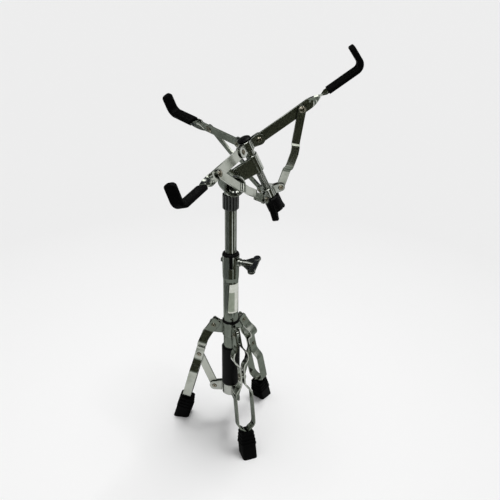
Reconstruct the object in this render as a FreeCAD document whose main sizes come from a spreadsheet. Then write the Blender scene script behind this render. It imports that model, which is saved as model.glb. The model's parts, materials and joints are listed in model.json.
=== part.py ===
import FreeCAD, Part
import math
import os
import Sketcher

# Driving sizes, in millimetres and degrees. The floor is z = 0 and the column stands on x = y = 0.
SIZES = {
    # Base tube, swaged and slit at its rim
    "base_tube_radius": 12.7,
    "tube_wall": 1.5,
    "base_tube_length": 279.0,
    "swage_length": 40.0,
    "swage_taper": 7.0,
    "swage_foot_radius": 13.5,
    "swage_rim_radius": 14.3,
    "slit_width": 5.4,
    "slit_length": 22.0,
    "slit_azimuth": -107.5,
    "nib_width": 5.0,
    "nib_height": 6.0,
    "nib_depth": 2.5,
    "stop_hole_radius": 1.3,
    "stop_hole_drop": 118.0,
    # Height clamp
    "bush_flange_radius": 13.6,
    "bush_flange_height": 4.0,
    "bush_lip": 1.6,
    "clamp_azimuth": -40.0,
    "clamp_drop": 12.0,
    "boss_foot_radius": 6.8,
    "boss_foot_depth": 2.6,
    "boss_radius": 5.5,
    "boss_depth": 7.2,
    "screw_radius": 3.5,
    "screw_hole_radius": 3.6,
    # Wing screws and nuts
    "wing_neck_radius": 6.0,
    "wing_neck_length": 5.0,
    "wing_tip_radius": 3.6,
    "wing_hub_length": 17.0,
    "wing_thickness": 4.4,
    "wing_root_half": 6.6,
    "wing_lobe_reach": 19.0,
    "wing_lobe_spread": 14.6,
    "wing_lobe_radius": 6.4,
    "wing_waist_reach": 24.4,
    "wing_edge_radius": 1.3,
    "height_wing_roll": -70.0,
    # Spacer sleeve and lower brace collar
    "sleeve_radius": 15.8,
    "sleeve_length": 77.0,
    "sleeve_edge": 1.0,
    "brace_ring_radius": 16.2,
    "brace_ring_height": 23.3,
    "brace_ring_drop": 9.7,
    "brace_ring_edge": 2.4,
    "brace_cheek_end": 9.0,
    "cheek_thickness": 2.2,
    # Tripod linkage
    "front_leg_azimuth": -90.0,
    "tripod_pivot_radius": 29.5,
    "brace_pivot_height": 77.2,
    "brace_length": 71.3,
    "brace_spread": 22.6,
    "brace_width": 14.0,
    "brace_thickness": 3.0,
    # Leg straps
    "leg_lean": 14.8,
    "leg_bend": 17.3,
    "leg_bend_radius": 60.0,
    "leg_width": 15.0,
    "leg_thickness": 2.4,
    "leg_end_margin": 11.7,
    "leg_corner_radius": 3.0,
    "leg_top_spacing": 3.7,
    "upper_bow_spacing": 12.8,
    "waist_spacing": 3.1,
    "lower_bow_spacing": 14.6,
    "heel_spacing": 2.0,
    "upper_bow_start": 56.3,
    "upper_bow_peak": 34.0,
    "waist_top": 12.0,
    "waist_bottom": 10.4,
    "lower_bow_start": 35.2,
    "lower_bow_end": 85.4,
    "heel_start": 106.0,
    "heel_to_floor": 12.0,
    "leg_stock_height": 70.0,
    "leg_stock_width": 50.0,
    # Rubber boots
    "boot_height": 46.0,
    "boot_knee_height": 24.0,
    "boot_top_width": 20.6,
    "boot_top_inner": 12.8,
    "boot_top_outer": 11.0,
    "boot_knee_width": 25.6,
    "boot_knee_inner": 15.6,
    "boot_knee_outer": 11.8,
    "boot_sole_width": 26.0,
    "boot_sole_inner": 14.6,
    "boot_sole_outer": 13.4,
    "boot_sole_overrun": 12.0,
    "boot_corner_radius": 5.0,
    "boot_rib_proud": 0.9,
    "boot_rib_thickness": 3.0,
    # Sliding leg collar
    "leg_ring_radius": 14.6,
    "leg_ring_height": 26.0,
    "leg_ring_drop": 15.6,
    "leg_bush_wall": 0.8,
    "leg_bush_flange_height": 3.6,
    "leg_ear_thickness": 4.4,
    "leg_ear_reach": 8.0,
    "leg_ear_top": 9.0,
    "leg_ear_corner": 6.0,
    "leg_slot_drop": 8.2,
    "lock_azimuth": 80.0,
    "lock_drop": 13.0,
    "lock_boss_radius": 5.4,
    "lock_boss_depth": 5.0,
    # Rivets and fits
    "rivet_radius": 2.5,
    "rivet_bore_radius": 1.2,
    "rivet_head_radius": 4.3,
    "rivet_rim_radius": 3.0,
    "rivet_head_height": 1.3,
    "slot_gap": 0.3,
    "running_gap": 0.3,
    "pin_fit": 0.05,
    "cut_overrun": 2.0,
    # Upper tube and tilter
    "upper_tube_radius": 9.525,
    "upper_tube_rise": 99.0,
    "upper_tube_overlap": 173.0,
    "tilter_rise": 25.0,
    "tilter_radius": 17.5,
    "tilter_front": 21.0,
    "tilter_rear": 3.5,
    "tilter_edge": 1.8,
    "dish_floor_radius": 6.8,
    "dish_floor_depth": 8.0,
    "dish_rim_radius": 14.2,
    "dish_bowl_radius": 11.0,
    "tilter_bolt_radius": 3.0,
    "tilter_bolt_head_radius": 6.0,
    "tilter_bolt_head_height": 4.0,
    "tilter_bolt_tail": 24.0,
    "tilter_neck_radius": 10.5,
    "tilter_neck_bury": 9.0,
    "tilter_shank_length": 62.0,
    "grip_collar_radius": 13.0,
    "grip_collar_height": 25.0,
    "grip_collar_cap": 6.0,
    "grip_collar_edge": 2.0,
    "flute_radius": 1.5,
    "washer_radius": 9.0,
    "washer_thickness": 1.5,
    "rear_disc_thickness": 8.2,
    "rear_disc_edge": 1.2,
    "bracket_thickness": 6.5,
    "bracket_inset": 0.8,
    "bracket_half_top": 12.0,
    "bracket_half_bottom": 11.0,
    "bracket_slope": 2.5,
    # Basket shaft, hubs and cap
    "basket_tilt": 25.8,
    "shaft_offset": 49.6,
    "basket_setback": 13.1,
    "basket_rise": 43.4,
    "shaft_radius": 6.0,
    "shaft_tail": 132.0,
    "shaft_head": 1.0,
    "shaft_end_edge": 1.0,
    "shaft_sleeve_radius": 9.3,
    "shaft_sleeve_tail": 57.0,
    "shaft_neck_radius": 7.4,
    "shaft_neck_length": 9.5,
    "top_hub_radius": 11.5,
    "top_hub_height": 16.0,
    "hub_edge": 0.8,
    "arm_pivot_radius": 21.5,
    "arm_pivot_drop": 8.5,
    "arm_cheek_end": 9.0,
    "cap_radius": 10.6,
    "cap_skirt": 2.6,
    "cap_height": 6.0,
    "low_hub_radius": 11.0,
    "low_hub_height": 16.5,
    "low_hub_drop": 89.5,
    "link_pivot_radius": 20.5,
    "link_pivot_drop": 99.0,
    "link_cheek_end": 6.8,
    # Basket arms and grips
    "first_arm_azimuth": -14.4,
    "arm_rise": 11.3,
    "arm_width": 16.0,
    "arm_thickness": 3.0,
    "arm_rivet_reach": 78.0,
    "arm_hole_radius": 4.0,
    "twist_start": 92.0,
    "twist_length": 28.0,
    "arm_bend_reach": 184.5,
    "arm_bend_radius": 11.0,
    "arm_post_length": 35.5,
    "arm_tip_cover": 5.0,
    "grip_start": 124.0,
    "grip_width": 19.0,
    "grip_thickness": 8.4,
    "grip_corner_radius": 3.6,
    "grip_tip_corner": 7.0,
    "grip_tip_radius": 2.2,
    # Basket links
    "link_length": 131.1,
    "link_angle": 53.8,
    "link_width": 12.6,
    "link_thickness": 3.0,
    "link_gap": 0.4,
    "link_bow": 5.0,
    "link_knee_reach": 62.0,
    "link_knee_drop": 5.4,
    "link_low_bend": 27.5,
    "link_low_bend_length": 14.0,
    "link_high_bend": 70.0,
    "link_high_bend_length": 10.0,
    "link_rivet_radius": 2.0,
    "link_rivet_cover_radius": 5.8,
    "link_rivet_dome_radius": 5.6,
    "link_rivet_dome_height": 2.4,
    # Basket knob
    "knob_radius": 13.5,
    "knob_neck_radius": 9.6,
    "knob_height": 28.0,
    "knob_edge": 2.0,
    "knob_wing_thickness": 11.0,
    "knob_wing_reach": 21.5,
    "knob_wing_drop": 39.0,
    "knob_wing_tip_radius": 4.0,
    "knob_wing_root": 8.0,
    "knob_wing_edge": 2.4,
    "knob_azimuth": 48.0,
    "insert_radius": 8.6,
    "insert_height": 9.0,
}

LEG_NAMES = ("front", "right", "left")
ARM_NAMES = ("right", "back", "front")
SIDES = {"a": 1, "b": -1}
FLUTE_COUNT = 16
TWIST_STEPS = 6
LOCK_WING_SHARE = 0.72
TILT_WING_SHARE = 0.9
WING_WEB_SHARE = 0.8
BOOT_RIB_SHARES = (0.12, 0.42, 0.72, 1.0)
LINK_SIDES = {"right": -1, "back": -1, "front": 1}
KNOB_ROUNDED_SHARE = 1.3
SLACK_SHARE = 0.01
FULL_TURN = 360.0
QUARTER_TURN = 90.0
X_AXIS = FreeCAD.Vector(1, 0, 0)
Y_AXIS = FreeCAD.Vector(0, 1, 0)
Z_AXIS = FreeCAD.Vector(0, 0, 1)

doc = FreeCAD.newDocument("snare_drum_stand")
subparts = []


# Sizes that keep their tie to the sheet

class Size:
    """A number with the text that ties it to the sheet of sizes."""

    def __init__(self, value, text):
        self.value = value
        self.text = text

    def __add__(self, other):
        other = as_size(other)
        return Size(self.value + other.value, "(%s + %s)" % (self.text, other.text))

    def __sub__(self, other):
        other = as_size(other)
        return Size(self.value - other.value, "(%s - %s)" % (self.text, other.text))

    def __mul__(self, other):
        other = as_size(other)
        return Size(self.value * other.value, "(%s * %s)" % (self.text, other.text))

    def __truediv__(self, other):
        other = as_size(other)
        return Size(self.value / other.value, "(%s / %s)" % (self.text, other.text))

    def __neg__(self):
        return Size(-self.value, "(0 - %s)" % self.text)


def as_size(number):
    if isinstance(number, Size):
        return number
    return Size(float(number), str(number))


def sine(angle):
    return Size(math.sin(math.radians(angle.value)), "sin(%s)" % angle.text)


def cosine(angle):
    return Size(math.cos(math.radians(angle.value)), "cos(%s)" % angle.text)


def tangent(angle):
    return sine(angle) / cosine(angle)


class NamedSizes:
    """Hands out the driving sizes by name."""

    def __getattr__(self, alias):
        return Size(SIZES[alias], "Sizes." + alias)


size = NamedSizes()


def fill_sheet():
    sheet = doc.addObject("Spreadsheet::Sheet", "Sizes")
    for row, (alias, value) in enumerate(SIZES.items(), start=1):
        sheet.set("A%d" % row, alias)
        sheet.set("B%d" % row, str(value))
        sheet.setAlias("B%d" % row, alias)
    doc.recompute()


# Sketches and features

def new_body(label):
    body = doc.addObject("PartDesign::Body", label)
    body.Label = label
    subparts.append(body)
    return body


def origin_feature(body, role):
    return [feature for feature in body.Origin.OriginFeatures if feature.Role == role][0]


def new_sketch(body, plane, shift=(0, 0, 0), rotation=FreeCAD.Rotation()):
    """A sketch on an origin plane, its origin shifted in the plane's own x, y and normal."""
    sketch = body.newObject("Sketcher::SketchObject", "Sketch")
    sketch.AttachmentSupport = [(origin_feature(body, plane), "")]
    sketch.MapMode = "FlatFace"
    steps = [as_size(step) for step in shift]
    offset = FreeCAD.Vector(*[step.value for step in steps])
    sketch.AttachmentOffset = FreeCAD.Placement(offset, rotation)
    for name, step in zip("xyz", steps):
        if step.value:
            sketch.setExpression("AttachmentOffset.Base." + name, step.text)
    return sketch


def facing_sketch(body, azimuth, lift):
    """An upright sketch whose normal points outward at an azimuth, lifted off the column axis."""
    turn = azimuth + QUARTER_TURN
    shift = (lift * sine(turn), 0, lift * cosine(turn))
    return new_sketch(body, "XZ_Plane", shift, FreeCAD.Rotation(Y_AXIS, turn.value))


def arc_between(start, end, bend):
    """An arc from start to end, turning left for a positive bend radius and right for a negative one."""
    radius = abs(bend)
    chord = end - start
    height = math.sqrt(max(radius ** 2 - (chord.Length / 2) ** 2, 0))
    left = FreeCAD.Vector(-chord.y, chord.x, 0).normalize()
    centre = (start + end) / 2 + left * math.copysign(height, bend)
    circle = Part.Circle(centre, Z_AXIS, radius)
    first, last = (start, end) if bend > 0 else (end, start)
    return Part.ArcOfCircle(circle, circle.parameter(first), circle.parameter(last))


def point_rules(piece, point, x, y):
    """Constraints that hold a point of a piece at x and y, each with its tie to the sheet."""
    rules = []
    for kind, axis, distance in (("DistanceX", -2, x), ("DistanceY", -1, y)):
        if distance.value:
            rules.append((Sketcher.Constraint(kind, -1, 1, piece, point, distance.value), distance.text))
        else:
            rules.append((Sketcher.Constraint("PointOnObject", piece, point, axis), None))
    return rules


def apply_rules(sketch, rules):
    rows = sketch.addConstraint([rule for rule, text in rules])
    for row, (rule, text) in zip(rows, rules):
        if text:
            sketch.setExpression("Constraints[%d]" % row, text)


def draw(sketch, corners):
    """Close an outline through corners (x, y) or (x, y, bend radius of the arc to the next corner)."""
    table = [[as_size(item) for item in corner] for corner in corners]
    points = [FreeCAD.Vector(row[0].value, row[1].value, 0) for row in table]
    pieces = []
    for index, row in enumerate(table):
        start = points[index]
        end = points[(index + 1) % len(points)]
        if len(row) == 2:
            pieces.append((sketch.addGeometry(Part.LineSegment(start, end)), 1, 2))
            continue
        bend = row[2].value
        piece = sketch.addGeometry(arc_between(start, end, bend))
        pieces.append((piece, 1, 2) if bend > 0 else (piece, 2, 1))
    rules = []
    for index, row in enumerate(table):
        piece, near, far = pieces[index]
        other, other_near, other_far = pieces[(index + 1) % len(pieces)]
        rules.append((Sketcher.Constraint("Coincident", piece, far, other, other_near), None))
        rules.extend(point_rules(piece, near, row[0], row[1]))
        if len(row) > 2:
            radius = abs(row[2].value)
            rules.append((Sketcher.Constraint("Radius", piece, radius), "abs(%s)" % row[2].text))
    apply_rules(sketch, rules)
    return sketch


def draw_circle(sketch, x, y, radius):
    x, y = as_size(x), as_size(y)
    centre = FreeCAD.Vector(x.value, y.value, 0)
    piece = sketch.addGeometry(Part.Circle(centre, Z_AXIS, radius.value))
    rules = point_rules(piece, 3, x, y)
    rules.append((Sketcher.Constraint("Radius", piece, radius.value), radius.text))
    apply_rules(sketch, rules)
    return sketch


def box_corners(left, bottom, right, top):
    return [(left, bottom), (right, bottom), (right, top), (left, top)]


def round_box_corners(left, bottom, right, top, radius):
    return [
        (left + radius, bottom),
        (right - radius, bottom, radius),
        (right, bottom + radius),
        (right, top - radius, radius),
        (right - radius, top),
        (left + radius, top, radius),
        (left, top - radius),
        (left, bottom + radius, radius),
    ]


def prism(body, kind, sketch, length, side, reverse=False):
    feature = body.newObject("PartDesign::" + kind, kind)
    feature.Profile = sketch
    feature.SideType = side
    feature.Reversed = reverse
    feature.Length = length.value
    feature.setExpression("Length", length.text)
    return feature


def pad(body, sketch, length, side="Symmetric"):
    return prism(body, "Pad", sketch, length, side)


def pocket(body, sketch, length, side="Symmetric"):
    return prism(body, "Pocket", sketch, length, side)


def turn_about(body, kind, sketch, axis):
    feature = body.newObject("PartDesign::" + kind, kind)
    feature.Profile = sketch
    feature.ReferenceAxis = (sketch, [axis])
    feature.Angle = FULL_TURN
    return feature


def revolve(body, corners, plane="XZ_Plane", shift=(0, 0, 0), axis="V_Axis"):
    return turn_about(body, "Revolution", draw(new_sketch(body, plane, shift), corners), axis)


def groove(body, corners, plane="XZ_Plane", shift=(0, 0, 0), axis="V_Axis"):
    return turn_about(body, "Groove", draw(new_sketch(body, plane, shift), corners), axis)


def polar_copies(body, features, count):
    pattern = body.newObject("PartDesign::PolarPattern", "PolarPattern")
    pattern.Originals = features
    pattern.Axis = (origin_feature(body, "Z_Axis"), [""])
    pattern.Angle = FULL_TURN
    pattern.Occurrences = count
    body.Tip = pattern
    return pattern


def fillet(body, feature, radius, wanted):
    """Round the edges of a feature that the wanted test picks."""
    doc.recompute()
    names = []
    for index, edge in enumerate(feature.Shape.Edges, start=1):
        if wanted(edge):
            names.append("Edge%d" % index)
    rounding = body.newObject("PartDesign::Fillet", "Fillet")
    rounding.Base = (feature, names)
    rounding.Radius = radius.value
    rounding.setExpression("Radius", radius.text)
    return rounding


def on_flat_side(thickness):
    """A test for edges that lie on the two flat sides of a plate centred on y = 0."""
    half = thickness.value / 2

    def wanted(edge):
        box = edge.BoundBox
        slack = half * SLACK_SHARE
        return box.YLength < slack and abs(abs(box.Center.y) - half) < slack
    return wanted


# Placements

def moved(x, y, z):
    return FreeCAD.Placement(FreeCAD.Vector(*[as_size(step).value for step in (x, y, z)]), FreeCAD.Rotation())


def turned(axis, angle):
    return FreeCAD.Placement(FreeCAD.Vector(), FreeCAD.Rotation(axis, as_size(angle).value))


def leg_place(index):
    return turned(Z_AXIS, size.front_leg_azimuth + FULL_TURN / len(LEG_NAMES) * index)


def arm_place(index):
    return basket_place() * turned(Z_AXIS, size.first_arm_azimuth + FULL_TURN / len(ARM_NAMES) * index)


def basket_place():
    tilted = moved(0, size.basket_setback, tilter_height) * turned(Y_AXIS, -size.basket_tilt)
    return tilted * moved(size.shaft_offset, 0, size.basket_rise)


# Heights and points shared by several sub-parts

base_foot = size.brace_pivot_height - size.brace_ring_drop
base_rim = base_foot + size.base_tube_length
swage_foot = base_rim - size.swage_length
clamp_height = base_rim - size.clamp_drop
clamp_face = size.swage_rim_radius + size.boss_depth
upper_top = base_rim + size.upper_tube_rise
tilter_height = upper_top + size.tilter_rise
mid_radius = size.tripod_pivot_radius + size.brace_length * sine(size.brace_spread)
mid_height = size.brace_pivot_height + size.brace_length * cosine(size.brace_spread)
leg_pivot_height = mid_height + size.brace_length * cosine(size.brace_spread)
leg_ring_foot = leg_pivot_height - size.leg_ring_drop
lock_height = leg_ring_foot + size.lock_drop
leg_bush_radius = size.base_tube_radius + size.pin_fit + size.leg_bush_wall
lock_face = size.leg_ring_radius + size.lock_boss_depth
floor_reach = mid_height / cosine(size.leg_lean)
heel_end = floor_reach - size.heel_to_floor
rear_disc_back = size.tilter_rear + size.running_gap + size.rear_disc_thickness


# Shapes used more than once

def edge_path(stations, offset, forward):
    """One edge of a strap that swings between stations in double curves; a positive offset is to the left."""
    pairs = list(zip(stations, stations[1:]))
    steps = pairs if forward else [(last, first) for first, last in reversed(pairs)]
    corners = []
    for (x0, t0), (x1, t1) in steps:
        run = x1 - x0
        rise = t1 - t0
        corner = (x0, t0 + offset)
        if not rise.value:
            corners.append(corner)
            continue
        radius = (run * run + rise * rise) / (rise * 4)
        lean_sine = run / (radius * 2)
        lean_cosine = (radius * 2 - rise) / (radius * 2)
        heading = 1 if forward else -1
        first_bend = (radius - offset) * heading
        second_bend = -(radius + offset) * heading
        corners.append(corner + (first_bend,))
        middle_x = (x0 + x1) / 2 - offset * lean_sine
        middle_t = (t0 + t1) / 2 + offset * lean_cosine
        corners.append((middle_x, middle_t, second_bend))
    last_x, last_t = steps[-1][1]
    corners.append((last_x, last_t + offset))
    return corners


def strap_outline(stations, thickness):
    near = edge_path(stations, -(thickness / 2), True)
    far = edge_path(stations, thickness / 2, False)
    return near + far


def bent_strap(label, stations, thickness, outline, holes, stock_height, stock_width):
    """A strap bent along its stations, then trimmed to its side outline and drilled."""
    body = new_body(label)
    pad(body, draw(new_sketch(body, "XY_Plane"), strap_outline(stations, thickness)), stock_height)
    trim = new_sketch(body, "XZ_Plane")
    left = stations[0][0] - size.cut_overrun
    right = stations[-1][0] + size.cut_overrun
    draw(trim, box_corners(left, -stock_height, right, stock_height))
    draw(trim, outline)
    for x, y, radius in holes:
        draw_circle(trim, x, y, radius)
    pocket(body, trim, stock_width)
    return body


def clevis_ring(label, bore, radius, edge, foot, head, pivot_radius, pivot_height, cheek_end, tongue):
    """A ring with three pairs of cheeks, each pair drilled for a rivet."""
    body = new_body(label)
    revolve(body, [
        (bore, foot), (radius - edge, foot), (radius, foot + edge), (radius, head - size.hub_edge),
        (radius - size.hub_edge, head), (bore, head),
    ])
    root = (bore + radius) / 2
    gap = tongue + size.slot_gap * 2
    cheeks = pad(body, draw(new_sketch(body, "XZ_Plane"), [
        (root, foot + edge), (pivot_radius, pivot_height - cheek_end, cheek_end),
        (pivot_radius + cheek_end, pivot_height, cheek_end), (pivot_radius, pivot_height + cheek_end),
        (root, head - size.hub_edge),
    ]), gap + size.cheek_thickness * 2)
    slot = pocket(body, draw(new_sketch(body, "XZ_Plane"), box_corners(
        radius + size.running_gap, foot - size.cut_overrun, pivot_radius + cheek_end * 2, head + cheek_end,
    )), gap)
    drill = draw_circle(new_sketch(body, "XZ_Plane"), pivot_radius, pivot_height, size.rivet_radius)
    hole = pocket(body, drill, gap + size.cheek_thickness * 4)
    polar_copies(body, [cheeks, slot, hole], len(LEG_NAMES))
    return body


def add_rivet(body, x, z, radius, grip):
    """A hollow rivet across the y direction, with a rolled head at each end."""
    half = grip / 2
    top = half + size.rivet_head_height
    return revolve(body, [
        (size.rivet_bore_radius, -top), (size.rivet_rim_radius, -top), (size.rivet_head_radius, -half),
        (radius, -half), (radius, half), (size.rivet_head_radius, half), (size.rivet_rim_radius, top),
        (size.rivet_bore_radius, top),
    ], "XY_Plane", (x, 0, z))


def rivet_ring(label, x, z, grip):
    body = new_body(label)
    polar_copies(body, [add_rivet(body, x, z, size.rivet_radius, grip)], len(LEG_NAMES))
    return body


def cheek_grip(tongue):
    return tongue + (size.slot_gap + size.cheek_thickness) * 2


def add_wings(body, share, shank):
    """Two round lobes with eased rims on a thin web along x, a tapered hub and a shank outline behind it."""
    root = size.wing_neck_length * share
    reach = size.wing_lobe_reach * share
    spread = size.wing_lobe_spread * share
    lobe = size.wing_lobe_radius * share
    edge = size.wing_edge_radius * share
    half = size.wing_thickness * share / 2
    inner = lobe - edge
    foot = root / 2
    root_half = size.wing_root_half * share
    pad(body, draw(new_sketch(body, "XZ_Plane"), [
        (foot, -root_half), (reach - inner, -spread), (reach + inner, -spread),
        (size.wing_waist_reach * share, 0),
        (reach + inner, spread), (reach - inner, spread), (foot, root_half),
    ]), half * 2 * WING_WEB_SHARE)
    for sign in SIDES.values():
        revolve(body, [
            (0, -half), (inner, -half), (lobe, edge - half), (lobe, half - edge), (inner, half), (0, half),
        ], "XY_Plane", (reach, 0, spread * sign))
    neck = size.wing_neck_radius * share
    tip = size.wing_tip_radius * share
    end = size.wing_hub_length * share
    start = shank[-1] if shank else (0, 0)
    hub = [start, (end, 0), (end, tip), (root, neck), (0, neck)]
    revolve(body, hub + shank[:-1], "XY_Plane", axis="H_Axis")


def wing_screw(label, share, length):
    body = new_body(label)
    shank = [(0, size.screw_radius), (-length, size.screw_radius), (-length, 0)]
    add_wings(body, share, shank)
    return body


# Column

def make_base_tube():
    body = new_body("base_tube")
    outside = [
        (size.base_tube_radius, base_foot), (size.base_tube_radius, swage_foot - size.swage_taper),
        (size.swage_foot_radius, swage_foot), (size.swage_rim_radius, base_rim),
    ]
    inside = [(radius - size.tube_wall, height) for radius, height in reversed(outside)]
    revolve(body, outside + inside)
    outer = size.swage_rim_radius + size.cut_overrun
    slit_half = size.slit_width / 2
    slit_foot = base_rim - size.slit_length
    slit_head = base_rim + size.cut_overrun
    pocket(body, draw(facing_sketch(body, size.slit_azimuth, outer), [
        (0, slit_foot, slit_half), (slit_half, slit_foot + slit_half), (slit_half, slit_head),
        (-slit_half, slit_head), (-slit_half, slit_foot + slit_half, slit_half),
    ]), outer, "One side")
    pocket(body, draw_circle(facing_sketch(body, size.clamp_azimuth, outer), 0, clamp_height,
                             size.screw_hole_radius), outer, "One side")
    pocket(body, draw_circle(facing_sketch(body, size.slit_azimuth, outer), 0, base_rim - size.stop_hole_drop,
                             size.stop_hole_radius), outer, "One side")
    nib_foot = size.swage_foot_radius - size.tube_wall / 2
    nib = facing_sketch(body, size.clamp_azimuth + FULL_TURN / 2, nib_foot)
    draw(nib, box_corners(-(size.nib_width / 2), clamp_height - size.nib_height / 2,
                          size.nib_width / 2, clamp_height + size.nib_height / 2))
    pad(body, nib, size.swage_rim_radius + size.nib_depth - nib_foot, "One side")


def make_height_bush():
    body = new_body("height_bush")
    bore = size.upper_tube_radius + size.pin_fit
    top = base_rim + size.bush_flange_height
    revolve(body, [
        (bore, swage_foot), (size.swage_foot_radius - size.tube_wall, swage_foot),
        (size.swage_rim_radius - size.tube_wall, base_rim), (size.bush_flange_radius, base_rim),
        (size.bush_flange_radius, top - size.bush_lip), (size.bush_flange_radius - size.bush_lip, top),
        (bore, top),
    ])
    reach = size.swage_rim_radius
    pocket(body, draw_circle(facing_sketch(body, size.clamp_azimuth, reach), 0, clamp_height,
                             size.screw_hole_radius), reach, "One side")


def make_clamp_boss():
    body = new_body("clamp_boss")
    start = size.base_tube_radius
    for radius, face in (
        (size.boss_foot_radius, size.swage_rim_radius + size.boss_foot_depth), (size.boss_radius, clamp_face),
    ):
        disc = draw_circle(facing_sketch(body, size.clamp_azimuth, start), 0, clamp_height, radius)
        pad(body, disc, face - start, "One side")
    groove(body, [
        (0, swage_foot), (size.swage_foot_radius, swage_foot),
        (size.swage_rim_radius, base_rim), (0, base_rim),
    ])
    outer = clamp_face + size.cut_overrun
    pocket(body, draw_circle(facing_sketch(body, size.clamp_azimuth, outer), 0, clamp_height,
                             size.screw_hole_radius), outer, "One side")


def make_height_wing_bolt():
    shank = clamp_face - size.upper_tube_radius
    body = wing_screw("height_wing_bolt", as_size(1), shank)
    body.Placement = (turned(Z_AXIS, size.clamp_azimuth)
                      * moved(clamp_face + size.running_gap, 0, clamp_height)
                      * turned(X_AXIS, size.height_wing_roll))


def make_tube_sleeve():
    body = new_body("tube_sleeve")
    foot = base_foot + size.brace_ring_height
    top = foot + size.sleeve_length
    revolve(body, [
        (size.base_tube_radius, foot), (size.sleeve_radius, foot),
        (size.sleeve_radius, top - size.sleeve_edge), (size.sleeve_radius - size.sleeve_edge, top),
        (size.base_tube_radius, top),
    ])


def make_upper_tube():
    body = new_body("upper_tube")
    foot = base_rim - size.upper_tube_overlap
    bore = size.upper_tube_radius - size.tube_wall
    revolve(body, box_corners(bore, foot, size.upper_tube_radius, upper_top))


# Tripod

def make_brace_collar():
    body = clevis_ring("brace_collar", size.base_tube_radius, size.brace_ring_radius, size.brace_ring_edge,
                       base_foot, base_foot + size.brace_ring_height, size.tripod_pivot_radius,
                       size.brace_pivot_height, size.brace_cheek_end, size.brace_thickness)
    body.Placement = leg_place(0)
    rivets = rivet_ring("brace_pivot_rivets", size.tripod_pivot_radius, size.brace_pivot_height,
                        cheek_grip(size.brace_thickness))
    rivets.Placement = leg_place(0)


def make_leg_collar():
    body = new_body("leg_collar")
    top = leg_ring_foot + size.leg_ring_height
    revolve(body, box_corners(leg_bush_radius, leg_ring_foot, size.leg_ring_radius, top))
    root = (leg_bush_radius + size.leg_ring_radius) / 2
    reach = size.tripod_pivot_radius + size.leg_ear_reach
    crown = leg_pivot_height + size.leg_ear_top
    corner = size.leg_ear_corner
    ear = pad(body, draw(new_sketch(body, "XZ_Plane"), [
        (root, leg_ring_foot), (reach - corner, leg_ring_foot, corner), (reach, leg_ring_foot + corner),
        (reach, crown - corner, corner), (reach - corner, crown), (root, crown),
    ]), size.leg_ear_thickness)
    play = size.rivet_radius + size.slot_gap
    left = size.tripod_pivot_radius - play
    right = size.tripod_pivot_radius + play
    low = leg_pivot_height - size.leg_slot_drop
    slot = pocket(body, draw(new_sketch(body, "XZ_Plane"), [
        (left, low, play), (size.tripod_pivot_radius, low - play, play), (right, low),
        (right, leg_pivot_height, play), (size.tripod_pivot_radius, leg_pivot_height + play, play),
        (left, leg_pivot_height),
    ]), size.leg_ear_thickness * 2)
    polar_copies(body, [ear, slot], len(LEG_NAMES))
    azimuth = size.lock_azimuth - size.front_leg_azimuth
    start = leg_bush_radius
    pad(body, draw_circle(facing_sketch(body, azimuth, start), 0, lock_height, size.lock_boss_radius),
        lock_face - start, "One side")
    groove(body, box_corners(as_size(0), leg_ring_foot, leg_bush_radius, top))
    outer = lock_face + size.cut_overrun
    pocket(body, draw_circle(facing_sketch(body, azimuth, outer), 0, lock_height, size.screw_hole_radius),
           outer, "One side")
    body.Placement = leg_place(0)


def make_leg_collar_bush():
    body = new_body("leg_collar_bush")
    top = leg_ring_foot + size.leg_ring_height
    crown = top + size.leg_bush_flange_height
    bore = size.base_tube_radius + size.pin_fit
    flange = size.leg_ring_radius
    revolve(body, [
        (bore, leg_ring_foot), (leg_bush_radius, leg_ring_foot), (leg_bush_radius, top), (flange, top),
        (flange, crown - size.hub_edge), (flange - size.hub_edge, crown), (bore, crown),
    ])
    outer = flange + size.cut_overrun
    azimuth = size.lock_azimuth - size.front_leg_azimuth
    pocket(body, draw_circle(facing_sketch(body, azimuth, outer), 0, lock_height, size.screw_hole_radius),
           outer, "One side")
    body.Placement = leg_place(0)


def make_leg_lock_screw():
    shank = lock_face - size.base_tube_radius
    body = wing_screw("leg_lock_screw", as_size(LOCK_WING_SHARE), shank)
    body.Placement = turned(Z_AXIS, size.lock_azimuth) * moved(lock_face + size.running_gap, 0, lock_height)


def make_brace(index, name):
    body = new_body("brace_" + name)
    half = size.brace_width / 2
    side = new_sketch(body, "XZ_Plane")
    draw(side, [
        (0, half, half), (-half, 0, half), (0, -half), (size.brace_length, -half, half),
        (size.brace_length + half, 0, half), (size.brace_length, half),
    ])
    hole = size.rivet_radius + size.pin_fit
    draw_circle(side, 0, 0, hole)
    draw_circle(side, size.brace_length, 0, hole)
    pad(body, side, size.brace_thickness)
    body.Placement = (leg_place(index) * moved(size.tripod_pivot_radius, 0, size.brace_pivot_height)
                      * turned(Y_AXIS, size.brace_spread - QUARTER_TURN))


def leg_frame(index):
    """Placement of a leg: its brace rivet at the origin, x down the leg and z outward."""
    upright = as_size(QUARTER_TURN) - size.leg_lean
    return leg_place(index) * moved(mid_radius, 0, mid_height) * turned(Y_AXIS, upright)


def leg_stations(sign):
    top = -(size.upper_bow_start * 2)
    return [(x, spacing * sign) for x, spacing in (
        (top, size.leg_top_spacing), (-size.upper_bow_start, size.leg_top_spacing),
        (-size.upper_bow_peak, size.upper_bow_spacing), (-size.waist_top, size.waist_spacing),
        (size.waist_bottom, size.waist_spacing), (size.lower_bow_start, size.lower_bow_spacing),
        (size.lower_bow_end, size.lower_bow_spacing), (size.heel_start, size.heel_spacing),
        (heel_end, size.heel_spacing),
    )]


def leg_pivot_point():
    crook = size.brace_spread - size.leg_lean
    return -(size.brace_length * cosine(crook)), -(size.brace_length * sine(crook))


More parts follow.
